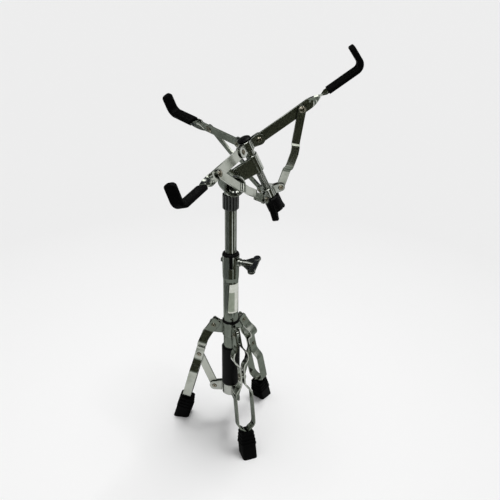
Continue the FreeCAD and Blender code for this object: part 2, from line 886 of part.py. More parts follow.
def leg_outline():
    """Side view of a leg: straight shin, one bend, short upper run past the pivot with eased corners."""
    bend_sine = sine(size.leg_bend)
    bend_cosine = cosine(size.leg_bend)
    pivot_x, pivot_n = leg_pivot_point()
    vertex = pivot_x - pivot_n * bend_cosine / bend_sine
    radius = size.leg_bend_radius
    bend_x = vertex + radius * tangent(size.leg_bend / 2)
    half = size.leg_width / 2
    corner = size.leg_corner_radius

    def upper(along, across):
        x = pivot_x - along * bend_cosine - across * bend_sine
        n = pivot_n - along * bend_sine + across * bend_cosine
        return x, n

    def bend_end(across):
        reach = radius + across
        return bend_x - reach * bend_sine, reach * bend_cosine - radius

    tip = size.leg_end_margin
    return [
        upper(tip - corner, -half), bend_end(-half) + (half - radius,), (bend_x, -half), (heel_end, -half),
        (heel_end, half), (bend_x, half, radius + half), bend_end(half),
        upper(tip - corner, half) + (corner,), upper(tip, half - corner),
        upper(tip, corner - half) + (corner,),
    ]


def make_leg(index, name):
    pivot_x, pivot_n = leg_pivot_point()
    holes = [(pivot_x, pivot_n, size.rivet_radius), (as_size(0), as_size(0), size.rivet_radius)]
    for side, sign in SIDES.items():
        strap = bent_strap("leg_%s_strap_%s" % (name, side), leg_stations(sign), size.leg_thickness,
                           leg_outline(), holes, size.leg_stock_height, size.leg_stock_width)
        strap.Placement = leg_frame(index)
    rivets = new_body("leg_%s_rivets" % name)
    add_rivet(rivets, pivot_x, pivot_n, size.rivet_radius, size.leg_top_spacing * 2 + size.leg_thickness)
    add_rivet(rivets, 0, 0, size.rivet_radius, size.waist_spacing * 2 + size.leg_thickness)
    rivets.Placement = leg_frame(index)


def boot_section(body, reach, width, inner, outer):
    half = width / 2
    sketch = new_sketch(body, "YZ_Plane", (0, 0, reach))
    return draw(sketch, round_box_corners(-half, -inner, half, outer, size.boot_corner_radius))


def make_boot(index, name):
    body = new_body("boot_" + name)
    top = (size.boot_top_width, size.boot_top_inner, size.boot_top_outer)
    knee = (size.boot_knee_width, size.boot_knee_inner, size.boot_knee_outer)
    sole = (size.boot_sole_width, size.boot_sole_inner, size.boot_sole_outer)
    top_reach = floor_reach - size.boot_height
    knee_reach = floor_reach - size.boot_knee_height
    loft = body.newObject("PartDesign::AdditiveLoft", "Loft")
    loft.Profile = boot_section(body, top_reach, *top)
    loft.Sections = [
        boot_section(body, knee_reach, *knee),
        boot_section(body, floor_reach + size.boot_sole_overrun, *sole),
    ]
    loft.Ruled = True
    for share in BOOT_RIB_SHARES:
        reach = top_reach + (knee_reach - top_reach) * share
        width, inner, outer = [low + (high - low) * share for low, high in zip(top, knee)]
        rib = boot_section(body, reach, width + size.boot_rib_proud * 2, inner + size.boot_rib_proud,
                           outer + size.boot_rib_proud)
        pad(body, rib, size.boot_rib_thickness)
    stations = {sign: leg_stations(sign)[-3:] for sign in SIDES.values()}
    half = size.leg_thickness / 2
    cavity = edge_path(stations[-1], -half, True) + edge_path(stations[1], half, False)
    pocket(body, draw(new_sketch(body, "XY_Plane"), cavity), size.leg_width)
    slope = tangent(size.leg_lean)
    wide = size.leg_stock_height / 2
    deep = floor_reach + size.leg_stock_height
    pocket(body, draw(new_sketch(body, "XZ_Plane"), [
        (floor_reach - wide * slope, -wide), (deep, -wide), (deep, wide), (floor_reach + wide * slope, wide),
    ]), size.leg_stock_width)
    body.Placement = leg_frame(index)


# Tilter

def tilter_place():
    return moved(0, 0, tilter_height)


def make_tilter_base():
    body = new_body("tilter_base")
    dish_floor = size.dish_floor_depth - size.tilter_front
    front = -size.tilter_front
    revolve(body, [
        (size.tilter_bolt_radius, dish_floor), (size.dish_floor_radius, dish_floor, -size.dish_bowl_radius),
        (size.dish_rim_radius, front), (size.tilter_radius - size.tilter_edge, front),
        (size.tilter_radius, front + size.tilter_edge), (size.tilter_radius, size.tilter_rear),
        (size.tilter_bolt_radius, size.tilter_rear),
    ], "XY_Plane")
    neck_foot = size.grip_collar_cap - size.tilter_rise
    neck = draw_circle(new_sketch(body, "XY_Plane", (0, 0, neck_foot)), 0, 0, size.tilter_neck_radius)
    neck_length = -neck_foot - size.tilter_neck_bury
    pad(body, neck, neck_length, "One side")
    shank = draw_circle(new_sketch(body, "XY_Plane", (0, 0, neck_foot - size.tilter_shank_length)), 0, 0,
                        size.upper_tube_radius - size.tube_wall - size.pin_fit)
    pad(body, shank, size.tilter_shank_length, "One side")
    pocket(body, draw(new_sketch(body, "YZ_Plane"), box_corners(
        size.tilter_rear, neck_foot, size.tilter_radius, as_size(0),
    )), size.tilter_radius * 2)
    groove(body, box_corners(as_size(0), front, size.tilter_bolt_radius, size.tilter_rear), "XY_Plane")
    body.Placement = tilter_place()


def make_tilter_collar():
    body = new_body("tilter_collar")
    crown = size.grip_collar_cap - size.tilter_rise
    foot = crown - size.grip_collar_height
    shoulder = size.running_gap - size.tilter_rise
    bore = size.upper_tube_radius + size.pin_fit
    throat = size.upper_tube_radius - size.tube_wall - size.pin_fit
    edge = size.grip_collar_edge
    revolve(body, [
        (bore, foot), (size.grip_collar_radius - edge, foot), (size.grip_collar_radius, foot + edge),
        (size.grip_collar_radius, crown), (throat, crown), (throat, shoulder), (bore, shoulder),
    ])
    flute = pocket(body, draw_circle(new_sketch(body, "XY_Plane", (0, 0, crown)),
                                     size.grip_collar_radius + size.flute_radius / 2, 0, size.flute_radius),
                   size.grip_collar_height, "One side")
    polar_copies(body, [flute], FLUTE_COUNT)
    body.Placement = tilter_place()


def make_tilter_bolt():
    body = new_body("tilter_bolt")
    seat = size.dish_floor_depth - size.tilter_front
    head = seat - size.tilter_bolt_head_height
    radius = size.tilter_bolt_radius
    wide = size.tilter_bolt_head_radius
    revolve(body, [
        (0, head), (wide - size.hub_edge, head), (wide, head + size.hub_edge), (wide, seat), (radius, seat),
        (radius, size.tilter_bolt_tail), (0, size.tilter_bolt_tail),
    ], "XY_Plane")
    body.Placement = tilter_place()


def make_tilter_washer():
    body = new_body("tilter_washer")
    near = rear_disc_back + size.running_gap
    far = near + size.washer_thickness
    revolve(body, box_corners(size.tilter_bolt_radius, near, size.washer_radius, far), "XY_Plane")
    body.Placement = tilter_place()


def make_tilter_wing_nut():
    body = new_body("tilter_wing_nut")
    add_wings(body, as_size(TILT_WING_SHARE), [])
    seat = rear_disc_back + size.running_gap * 2 + size.washer_thickness
    tail = size.tilter_bolt_tail - seat + size.running_gap
    groove(body, box_corners(-size.cut_overrun, as_size(0), tail, size.tilter_bolt_radius + size.pin_fit),
           axis="H_Axis")
    body.Placement = tilter_place() * moved(0, seat, 0) * turned(Z_AXIS, QUARTER_TURN)


def make_tilter_bracket():
    body = new_body("tilter_bracket")
    across = -size.shaft_offset
    drop = -size.basket_rise
    back = rear_disc_back - size.basket_setback
    front = back - size.rear_disc_thickness
    edge = size.rear_disc_edge
    bore = size.tilter_bolt_radius + size.pin_fit
    revolve(body, [
        (bore, front), (size.tilter_radius, front), (size.tilter_radius, back - edge),
        (size.tilter_radius - edge, back), (bore, back),
    ], "XY_Plane", (across, 0, drop))
    web = new_sketch(body, "XZ_Plane", (0, 0, size.bracket_thickness / 2 - front - size.rear_disc_thickness
                                        + size.bracket_inset))
    draw(web, [
        (across, drop - size.bracket_half_bottom), (0, drop - size.bracket_half_bottom - size.bracket_slope),
        (0, drop + size.bracket_half_top + size.bracket_slope), (across, drop + size.bracket_half_top),
    ])
    pad(body, web, size.bracket_thickness)
    head = -(size.shaft_head + size.top_hub_height)
    tail = -size.shaft_sleeve_tail
    shoulder = head - size.shaft_neck_length
    edge = size.hub_edge
    wide = size.shaft_sleeve_radius
    neck = size.shaft_neck_radius
    revolve(body, [
        (size.shaft_radius, tail), (wide - edge, tail), (wide, tail + edge), (wide, shoulder - edge),
        (wide - edge, shoulder), (neck, shoulder), (neck, head), (size.shaft_radius, head),
    ])
    groove(body, box_corners(as_size(0), -size.shaft_tail, size.shaft_radius, head))
    groove(body, box_corners(as_size(0), front - size.cut_overrun, bore, back + size.cut_overrun), "XY_Plane",
           (across, 0, drop))
    body.Placement = basket_place()


# Basket

def make_basket_shaft():
    body = new_body("basket_shaft")
    edge = size.shaft_end_edge
    tail = -size.shaft_tail
    head = -size.shaft_head
    revolve(body, [
        (0, tail), (size.shaft_radius - edge, tail), (size.shaft_radius, tail + edge),
        (size.shaft_radius, head), (0, head),
    ])
    body.Placement = basket_place()


def make_top_hub():
    foot = -(size.shaft_head + size.top_hub_height)
    body = clevis_ring("top_hub", size.shaft_radius, size.top_hub_radius, size.hub_edge, foot,
                       -size.shaft_head, size.arm_pivot_radius, -size.arm_pivot_drop, size.arm_cheek_end,
                       size.arm_thickness)
    body.Placement = arm_place(0)
    rivets = rivet_ring("top_hub_rivets", size.arm_pivot_radius, -size.arm_pivot_drop,
                        cheek_grip(size.arm_thickness))
    rivets.Placement = arm_place(0)


def make_hub_cap():
    body = new_body("hub_cap")
    skirt = size.cap_skirt - size.shaft_head
    dome = size.cap_height - size.cap_skirt
    crown = (size.cap_radius * size.cap_radius + dome * dome) / (dome * 2)
    revolve(body, [
        (0, -size.shaft_head), (size.cap_radius, -size.shaft_head), (size.cap_radius, skirt, crown),
        (0, skirt + dome),
    ])
    body.Placement = basket_place()


def make_low_hub():
    foot = -(size.low_hub_drop + size.low_hub_height)
    body = clevis_ring("low_hub", size.shaft_radius + size.pin_fit, size.low_hub_radius, size.hub_edge, foot,
                       -size.low_hub_drop, size.link_pivot_radius, -size.link_pivot_drop, size.link_cheek_end,
                       size.link_thickness)
    body.Placement = arm_place(0)
    rivets = rivet_ring("low_hub_rivets", size.link_pivot_radius, -size.link_pivot_drop,
                        cheek_grip(size.link_thickness))
    rivets.Placement = arm_place(0)


def arm_frame(index):
    """Placement of an arm: its hub pivot at the origin, x along the arm and z on its upper side."""
    pivot = moved(size.arm_pivot_radius, 0, -size.arm_pivot_drop)
    return arm_place(index) * pivot * turned(Y_AXIS, -size.arm_rise)


def arm_path(body, start, end):
    """The centre line of an arm from a reach along it, round the bend and up its post."""
    sketch = new_sketch(body, "XZ_Plane")
    bend = size.arm_bend_radius
    reach = size.arm_bend_reach
    first = FreeCAD.Vector(start.value, 0, 0)
    corner = FreeCAD.Vector((reach - bend).value, 0, 0)
    rise = FreeCAD.Vector(reach.value, bend.value, 0)
    tip = FreeCAD.Vector(reach.value, end.value, 0)
    run = sketch.addGeometry(Part.LineSegment(first, corner))
    turn = sketch.addGeometry(arc_between(corner, rise, bend.value))
    post = sketch.addGeometry(Part.LineSegment(rise, tip))
    rules = [
        (Sketcher.Constraint("Coincident", run, 2, turn, 1), None),
        (Sketcher.Constraint("Coincident", turn, 2, post, 1), None),
        (Sketcher.Constraint("Radius", turn, bend.value), bend.text),
    ]
    rules.extend(point_rules(run, 1, start, as_size(0)))
    rules.extend(point_rules(turn, 1, reach - bend, as_size(0)))
    rules.extend(point_rules(post, 1, reach, bend))
    rules.extend(point_rules(post, 2, reach, end))
    apply_rules(sketch, rules)
    return sketch


def pipe(body, kind, section, spine):
    feature = body.newObject("PartDesign::" + kind, kind)
    feature.Profile = section
    feature.Spine = (spine, ["Edge1", "Edge2", "Edge3"])
    return feature


def arm_section(body, reach, angle):
    half = size.arm_width / 2
    thin = size.arm_thickness / 2
    sketch = new_sketch(body, "YZ_Plane", (0, 0, reach), FreeCAD.Rotation(Z_AXIS, angle))
    return draw(sketch, box_corners(-thin, -half, thin, half))


def make_arm(index, name):
    body = new_body("arm_" + name)
    half = size.arm_width / 2
    side = new_sketch(body, "XZ_Plane")
    draw(side, [
        (0, half, half), (-half, 0, half), (0, -half), (size.twist_start, -half), (size.twist_start, half),
    ])
    draw_circle(side, 0, 0, size.rivet_radius + size.pin_fit)
    draw_circle(side, size.arm_rivet_reach, 0, size.arm_hole_radius)
    pad(body, side, size.arm_thickness)
    twist = body.newObject("PartDesign::AdditiveLoft", "Twist")
    sections = []
    for step in range(TWIST_STEPS + 1):
        share = step / TWIST_STEPS
        reach = size.twist_start + size.twist_length * share
        sections.append(arm_section(body, reach, QUARTER_TURN * share))
    twist.Profile = sections[0]
    twist.Sections = sections[1:]
    start = size.twist_start + size.twist_length
    end = size.arm_post_length - size.arm_tip_cover
    pipe(body, "AdditivePipe", arm_section(body, start, QUARTER_TURN), arm_path(body, start, end))
    body.Placement = arm_frame(index)


def make_grip(index, name):
    body = new_body("grip_" + name)
    half = size.grip_width / 2
    thin = size.grip_thickness / 2
    cover = new_sketch(body, "YZ_Plane", (0, 0, size.grip_start))
    draw(cover, round_box_corners(-half, -thin, half, thin, size.grip_corner_radius))
    pipe(body, "AdditivePipe", cover, arm_path(body, size.grip_start, size.arm_post_length))
    head = size.arm_post_length
    corner = size.grip_tip_corner
    wide = half + size.cut_overrun
    crown = head + size.cut_overrun
    arch = draw(new_sketch(body, "YZ_Plane", (0, 0, size.arm_bend_reach)), [
        (-wide, head - corner), (-half, head - corner, -corner), (corner - half, head),
        (half - corner, head, -corner), (half, head - corner), (wide, head - corner), (wide, crown),
        (-wide, crown),
    ])
    rounded = pocket(body, arch, size.grip_thickness * 2)
    spring = (head - corner).value

    def on_arch(edge):
        return edge.BoundBox.ZMin > spring + corner.value * SLACK_SHARE
    fillet(body, rounded, size.grip_tip_radius, on_arch)
    end = head - size.arm_tip_cover
    pipe(body, "SubtractivePipe", arm_section(body, size.grip_start, QUARTER_TURN),
         arm_path(body, size.grip_start, end))
    body.Placement = arm_frame(index)


def link_frame(index):
    """Placement of a link: its lower pivot at the origin and x up the link."""
    return (arm_place(index) * moved(size.link_pivot_radius, 0, -size.link_pivot_drop)
            * turned(Y_AXIS, -size.link_angle))


def make_link(index, name):
    """A kneed strap that leaves one side of the arm, bows away and comes back between the lower cheeks."""
    half = size.link_width / 2
    length = size.link_length
    sign = LINK_SIDES[name]
    side = size.arm_thickness / 2 + size.link_gap + size.link_thickness / 2
    bow = side + size.link_bow
    stations = [(x, as_size(spacing) * sign) for x, spacing in (
        (-size.link_width, 0), (size.link_low_bend, 0), (size.link_low_bend + size.link_low_bend_length, bow),
        (size.link_high_bend, bow), (size.link_high_bend + size.link_high_bend_length, side),
        (length + size.link_width, side),
    )]
    knee = size.link_knee_reach
    drop = size.link_knee_drop
    outline = [
        (0, half, half), (-half, 0, half), (0, -half), (knee, -drop - half),
        (length, -half, half), (length + half, 0, half), (length, half), (knee, half - drop),
    ]
    middle = as_size(0)
    holes = [(middle, middle, size.rivet_radius + size.pin_fit), (length, middle, size.link_rivet_radius)]
    strap = bent_strap("link_" + name, stations, size.link_thickness, outline, holes, size.link_width * 2,
                       size.link_width * 4)
    strap.Placement = link_frame(index)
    rivet = new_body("link_%s_rivet" % name)
    near = side + size.link_thickness / 2
    far = -(size.arm_thickness / 2 + size.link_gap)
    foot = far - size.rivet_head_height
    dome = size.link_rivet_dome_radius
    crown = size.link_rivet_dome_height
    dome_bend = (dome * dome + crown * crown) / (crown * 2)
    revolve(rivet, [
        (0, foot), (size.rivet_head_radius, foot), (size.link_rivet_cover_radius, far),
        (size.link_rivet_radius, far), (size.link_rivet_radius, near), (dome, near, dome_bend),
        (0, near + crown),
    ], "XY_Plane")
    flip = 0 if sign > 0 else QUARTER_TURN * 2
    rivet.Placement = link_frame(index) * moved(length, 0, 0) * turned(X_AXIS, flip)


def make_knob():
    top = -(size.low_hub_drop + size.low_hub_height + size.running_gap)
    foot = top - size.knob_height
    edge = size.knob_edge
    bore = size.shaft_radius + size.pin_fit
    body = new_body("basket_knob")
    tip = size.knob_wing_tip_radius
    drop = top - size.knob_wing_drop
    reach = size.knob_wing_reach
    root = size.knob_wing_root
    shoulder = size.knob_radius - edge
    outlines = []
    for sign in SIDES.values():
        outline = [
            (root, foot), (reach - tip * 2, drop + tip, tip), (reach - tip, drop, tip), (reach, drop + tip),
            (shoulder, top - edge), (root, top - edge),
        ]
        outlines.append([tuple([corner[0] * sign, corner[1]] + [bend * sign for bend in corner[2:]])
                         for corner in outline])
    for outline in outlines:
        wing = pad(body, draw(new_sketch(body, "XZ_Plane"), outline), size.knob_wing_thickness)
        fillet(body, wing, size.knob_wing_edge, outer_wing_edges(outline[0][0].value * KNOB_ROUNDED_SHARE))
    revolve(body, [
        (bore, foot), (shoulder, foot), (size.knob_radius, foot + edge), (size.knob_radius, top - edge),
        (size.knob_neck_radius, top), (bore, top),
    ])
    below = drop - size.cut_overrun
    groove(body, box_corners(as_size(0), below, bore, top + size.cut_overrun))
    groove(body, box_corners(as_size(0), below, size.insert_radius, foot + size.insert_height))
    body.Placement = basket_place() * turned(Z_AXIS, size.knob_azimuth)
    insert = new_body("knob_insert")
    revolve(insert, box_corners(bore, foot, size.insert_radius, foot + size.insert_height))
    insert.Placement = body.Placement


def outer_wing_edges(limit):
    """A test for flat-side edges of the wing whose middle lies beyond a limit in x."""
    flat = on_flat_side(size.knob_wing_thickness)

    def wanted(edge):
        middle = edge.BoundBox.Center.x
        return flat(edge) and middle * limit > 0 and abs(middle) > abs(limit)
    return wanted


def check_and_export():
    doc.recompute()
    for item in doc.Objects:
        if "Invalid" in item.State or "Error" in item.State:
            raise RuntimeError("%s %s" % (item.Label, item.State))
    os.makedirs("parts", exist_ok=True)
    for item in subparts:
        if item.Shape.isNull() or not item.Shape.isValid():
            raise RuntimeError("bad shape in " + item.Label)
        item.Shape.exportStep("parts/%s.step" % item.Label)


fill_sheet()
make_base_tube()
make_height_bush()
make_clamp_boss()
make_height_wing_bolt()
make_tube_sleeve()
make_upper_tube()
make_brace_collar()
make_leg_collar()
make_leg_collar_bush()
make_leg_lock_screw()
for leg_index, leg_name in enumerate(LEG_NAMES):
    make_brace(leg_index, leg_name)
    make_leg(leg_index, leg_name)
    make_boot(leg_index, leg_name)
make_tilter_base()
make_tilter_collar()
make_tilter_bolt()
make_tilter_washer()
make_tilter_wing_nut()
make_tilter_bracket()
make_basket_shaft()
make_top_hub()
make_hub_cap()
make_low_hub()
for arm_index, arm_name in enumerate(ARM_NAMES):
    make_arm(arm_index, arm_name)
    make_grip(arm_index, arm_name)
    make_link(arm_index, arm_name)
make_knob()
check_and_export()
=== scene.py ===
import bpy
import json
import math
from mathutils import Matrix, Vector


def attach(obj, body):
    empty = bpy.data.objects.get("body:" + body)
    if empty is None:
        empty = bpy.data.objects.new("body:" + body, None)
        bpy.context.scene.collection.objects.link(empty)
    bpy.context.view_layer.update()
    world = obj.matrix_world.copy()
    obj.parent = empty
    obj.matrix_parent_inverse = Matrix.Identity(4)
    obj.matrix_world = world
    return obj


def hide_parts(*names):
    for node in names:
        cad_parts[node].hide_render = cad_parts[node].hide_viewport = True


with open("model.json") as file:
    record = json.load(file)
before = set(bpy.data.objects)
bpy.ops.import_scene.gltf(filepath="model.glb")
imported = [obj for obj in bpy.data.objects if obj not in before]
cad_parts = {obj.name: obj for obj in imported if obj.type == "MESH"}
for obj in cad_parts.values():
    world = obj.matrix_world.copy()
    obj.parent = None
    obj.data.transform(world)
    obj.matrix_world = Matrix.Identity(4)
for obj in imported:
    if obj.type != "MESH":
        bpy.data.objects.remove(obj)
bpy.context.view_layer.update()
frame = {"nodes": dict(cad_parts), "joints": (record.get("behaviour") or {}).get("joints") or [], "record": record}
nodes = frame["nodes"]
joints = {joint["name"]: joint for joint in frame["joints"]}
scene = bpy.context.scene

# Lengths are in metres, in the part's own frame


# Material building blocks

# Sockets of a mix node that works on colours
MIX_FACTOR = 0
MIX_FIRST = 6
MIX_SECOND = 7
MIX_RESULT = 2
# Rays that the grime and the soft edges send out from each point
NODE_SAMPLES = 6


class Nodes:
    """A node tree that is filled node by node."""

    def __init__(self, tree):
        self.tree = tree

    def fill(self, node, inputs):
        """Links each input that is given a socket and sets each input that is given a value."""
        for key, value in inputs.items():
            if isinstance(value, bpy.types.NodeSocket):
                self.tree.links.new(value, node.inputs[key])
            else:
                node.inputs[key].default_value = value

    def add(self, kind, output, inputs, **settings):
        """Adds a node, fills its inputs and returns one of its outputs."""
        node = self.tree.nodes.new(kind)
        for name, value in settings.items():
            setattr(node, name, value)
        self.fill(node, inputs)
        return node.outputs[output]

    def combine(self, operation, first, second):
        return self.add("ShaderNodeMath", "Value", {0: first, 1: second}, operation=operation)

    def spread(self, value, low, high, start=0.3, end=0.7):
        """Takes the range from start to end to the range from low to high."""
        limits = {"From Min": start, "From Max": end, "To Min": low, "To Max": high}
        return self.add("ShaderNodeMapRange", "Result", {"Value": value, **limits})

    def rise(self, value, start, end):
        return self.spread(value, 0.0, 1.0, start, end)

    def fall(self, value, start, end):
        return self.spread(value, 1.0, 0.0, start, end)


class Paint(Nodes):
    """A material with one principled shader, patterned by the part's own coordinates."""

    def __init__(self, name):
        self.material = bpy.data.materials.new(name)
        self.material.use_nodes = True
        super().__init__(self.material.node_tree)
        self.shader = self.tree.nodes["Principled BSDF"]
        self.place = self.add("ShaderNodeTexCoord", "Object", {})

    def coordinate(self, axis):
        return self.add("ShaderNodeSeparateXYZ", axis, {"Vector": self.place})

    def stretched(self, scale):
        return self.add("ShaderNodeMapping", "Vector", {"Vector": self.place, "Scale": scale})

    def length(self, vector):
        return self.add("ShaderNodeVectorMath", "Value", {0: vector}, operation="LENGTH")

    def noise(self, scale, detail=4.0, rough=0.5, vector=None):
        pattern = {"Scale": scale, "Detail": detail, "Roughness": rough}
        return self.add("ShaderNodeTexNoise", "Fac", {"Vector": vector or self.place, **pattern})

    def cells(self, scale):
        return self.add("ShaderNodeTexVoronoi", "Distance", {"Vector": self.place, "Scale": scale})

    def mix(self, factor, first, second, kind="MIX"):
        colours = {MIX_FACTOR: factor, MIX_FIRST: first, MIX_SECOND: second}
        return self.add("ShaderNodeMix", MIX_RESULT, colours, data_type="RGBA", blend_type=kind)

    def tint(self, factor, first, second):
        return self.mix(factor, (*first, 1), (*second, 1))

    def paint_gap_shade(self, colour, shade_colour, reach):
        """Paints shade into the colour in narrow gaps and along joints, where the parts hide each other's light.
        """
        openness = self.add("ShaderNodeAmbientOcclusion", "AO", {"Distance": reach}, samples=NODE_SAMPLES)
        return self.mix(self.rise(openness, start=0.25, end=0.95), (*shade_colour, 1), colour)

    def soft_edge(self, radius):
        return self.add("ShaderNodeBevel", "Normal", {"Radius": radius}, samples=NODE_SAMPLES)

    def bump(self, height, strength, depth, normal=None):
        inputs = {"Height": height, "Strength": strength, "Distance": depth}
        if normal:
            inputs["Normal"] = normal
        return self.add("ShaderNodeBump", "Normal", inputs)

    def finish(self, colour, roughness, normal=None, metallic=0.0, specular=0.5):
        """Feeds the shader and returns the material."""
        self.fill(self.shader, {"Base Color": colour, "Roughness": roughness,
                                "Metallic": metallic, "Specular IOR Level": specular})
        if normal:
            self.fill(self.shader, {"Normal": normal})
        return self.material


# Materials of the stand

def chrome(name, bright, dull, smooth, rough, peel, edge):
    """Bright plating: handling smudges in colour and gloss, fine hairlines, a slight unevenness and painted shade
    in gaps and along joints.
    """
    paint = Paint(name)
    smudge = paint.noise(scale=38.0, detail=5.0, rough=0.62)
    speck = paint.fall(paint.cells(scale=420.0), start=0.02, end=0.09)
    tone_share = paint.combine("MAXIMUM", paint.rise(smudge, start=0.45, end=0.75), speck)
    # The plating's colour gets painted shade in narrow gaps and along joints
    colour = paint.paint_gap_shade(paint.tint(tone_share, bright, dull), shade_colour=(0.012, 0.012, 0.010), reach=0.004)
    hairline = paint.noise(scale=160.0, detail=2.0, vector=paint.stretched((6.0, 6.0, 0.35)))
    wave = paint.noise(scale=55.0, detail=1.0)
    uneven = paint.bump(wave, strength=peel, depth=0.0006, normal=paint.soft_edge(edge))
    normal = paint.bump(hairline, strength=0.05, depth=0.0001, normal=uneven)
    return paint.finish(colour, paint.spread(smudge, smooth, rough), normal, metallic=1.0)


def steel(name, bright, dull, smooth, rough, edge=0.0003):
    """Turned or headed metal with fine tool marks."""
    paint = Paint(name)
    cloud = paint.noise(scale=90.0, detail=4.0, rough=0.6)
    marks = paint.noise(scale=900.0, detail=2.0, vector=paint.stretched((1.0, 1.0, 0.2)))
    colour = paint.tint(paint.rise(cloud, start=0.35, end=0.7), bright, dull)
    normal = paint.bump(marks, strength=0.12, depth=0.0001, normal=paint.soft_edge(edge))
    return paint.finish(colour, paint.spread(marks, smooth, rough), normal, metallic=1.0)


def black_mould(name, deep, pale, gloss, matt, grain, edge, specular, highlight_radii=None):
    """Moulded black rubber or nylon: fine grain, uneven gloss and cloudy fading.

    Given two radii, the piece isn't faded but painted pale from the one radius to the other, a painted highlight
    on the crests of its flutes.
    """
    paint = Paint(name)
    cloud = paint.noise(scale=45.0, detail=5.0, rough=0.6)
    fine = paint.noise(scale=1500.0, detail=3.0, rough=0.6)
    # Painted highlight: the flute crests, away from the axis, are painted pale
    if highlight_radii:
        from_axis = paint.length(paint.stretched((1.0, 1.0, 0.0)))
        tone_share = paint.rise(from_axis, *highlight_radii)
    else:
        tone_share = paint.rise(cloud, start=0.42, end=0.78)
    normal = paint.bump(fine, strength=grain, depth=0.0002, normal=paint.soft_edge(edge))
    gloss_spread = paint.spread(cloud, gloss, matt)
    return paint.finish(paint.tint(tone_share, deep, pale), gloss_spread, normal, specular=specular)


# Radii from the column's axis between which the tilter collar's flute crests take a painted highlight
HIGHLIGHT_FROM = 0.0126
HIGHLIGHT_TO = 0.01295
LOOKS = {
    "tube_chrome": (chrome, dict(bright=(0.44, 0.46, 0.42), dull=(0.30, 0.32, 0.28),
                                 smooth=0.05, rough=0.15, peel=0.10, edge=0.0004)),
    "cast_chrome": (chrome, dict(bright=(0.48, 0.50, 0.46), dull=(0.30, 0.32, 0.28),
                                 smooth=0.06, rough=0.20, peel=0.30, edge=0.0007)),
    "screw_chrome": (chrome, dict(bright=(0.30, 0.31, 0.29), dull=(0.16, 0.17, 0.15),
                                  smooth=0.06, rough=0.20, peel=0.30, edge=0.0008)),
    "strap_chrome": (chrome, dict(bright=(0.45, 0.47, 0.42), dull=(0.27, 0.29, 0.24),
                                  smooth=0.05, rough=0.18, peel=0.16, edge=0.0006)),
    "shaft_steel": (steel, dict(bright=(0.38, 0.39, 0.36), dull=(0.18, 0.19, 0.17),
                                smooth=0.14, rough=0.32)),
    "rivet_steel": (steel, dict(bright=(0.46, 0.43, 0.35), dull=(0.17, 0.155, 0.11),
                                smooth=0.05, rough=0.16)),
    "bolt_steel": (steel, dict(bright=(0.10, 0.10, 0.09), dull=(0.04, 0.04, 0.04),
                               smooth=0.22, rough=0.42)),
    "insert_brass": (steel, dict(bright=(0.50, 0.39, 0.17), dull=(0.26, 0.20, 0.08),
                                 smooth=0.18, rough=0.36)),
    "black_nylon": (black_mould, dict(deep=(0.0012, 0.0012, 0.0014), pale=(0.0035, 0.0035, 0.0038),
                                      gloss=0.36, matt=0.55, grain=0.10, edge=0.0005, specular=0.12)),
    "black_rubber": (black_mould, dict(deep=(0.0008, 0.0008, 0.0009), pale=(0.0025, 0.0025, 0.0026),
                                       gloss=0.55, matt=0.78, grain=0.25, edge=0.0008, specular=0.06)),
    # The pale colour here is a painted highlight on the flute crests
    "fluted_nylon": (black_mould, dict(deep=(0.0015, 0.0015, 0.0018), pale=(0.056, 0.059, 0.057),
                                       gloss=0.16, matt=0.30, grain=0.05, edge=0.0003, specular=0.6,
                                       highlight_radii=(HIGHLIGHT_FROM, HIGHLIGHT_TO))),
}
MATERIALS = {name: kind(name, **look) for name, (kind, look) in LOOKS.items()}
for part in frame["record"]["subparts"]:
    for slot in nodes[part["node"]].material_slots:
        slot.material = MATERIALS[part["material_slot"]]
nodes["tilter_collar"].material_slots[0].material = MATERIALS["fluted_nylon"]


# Meshes

QUAD = [(0, 1, 2, 3)]


def mesh_object(name, points, faces, material, smooth):
    mesh = bpy.data.meshes.new(name)
    mesh.from_pydata(points, [], faces)
    for face in mesh.polygons:
        face.use_smooth = smooth
    mesh.materials.append(material)
    made = bpy.data.objects.new(name, mesh)
    scene.collection.objects.link(made)
    return made


def mesh_piece(name, points, faces, material, body):
    piece = mesh_object(name, points, faces, material, smooth=True)
    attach(piece, body)
    return piece


def stage_mesh(name, points, faces, material):
    piece = mesh_object(name, points, faces, material, smooth=False)
    return piece


def grid_faces(rows, width, flip=False):
    """Faces between points that are listed row by row."""
    faces = []
    for row in range(rows - 1):
        for column in range(width - 1):
            first = row * width + column
            beside = first + 1
            above = first + width
            if flip:
                beside, above = above, beside
            faces.append((first, beside, first + width + 1, above))
    return faces


# Threaded basket shaft, with heights along it from the upper hub's centre

SHAFT_AXIS = Vector(joints["knob_turn"]["axis"])
TILT_AXIS = Vector(joints["tilt"]["axis"])
SHAFT_SIDE = TILT_AXIS.cross(SHAFT_AXIS)
HUB_ABOVE_KNOB = 0.110
HUB = Vector(joints["knob_turn"]["pos_m"]) + SHAFT_AXIS * HUB_ABOVE_KNOB
SHAFT_FOOT = -0.1320
SHAFT_HEAD = -0.0010
SHAFT_RADIUS = 0.0060
TIP_RADIUS = 0.0042
CORE_RADIUS = 0.00502
SHAFT_SIDES = 48
THREAD_FOOT = -0.1312
THREAD_TOP = -0.0565
THREAD_PITCH = 0.00175
THREAD_CREST = 0.0059
THREAD_ROOT = 0.0050
THREAD_STEPS = 40
# Each point of the thread's form: its share of the pitch and its share of the depth
THREAD_FORM_SHARES = ((0.0, 0.0), (0.38, 1.0), (0.62, 1.0), (1.0, 0.0))


def shaft_point(turns, radius, height):
    angle = turns * 2 * math.pi
    across = SHAFT_SIDE * math.cos(angle) + TILT_AXIS * math.sin(angle)
    return HUB + across * radius + SHAFT_AXIS * height


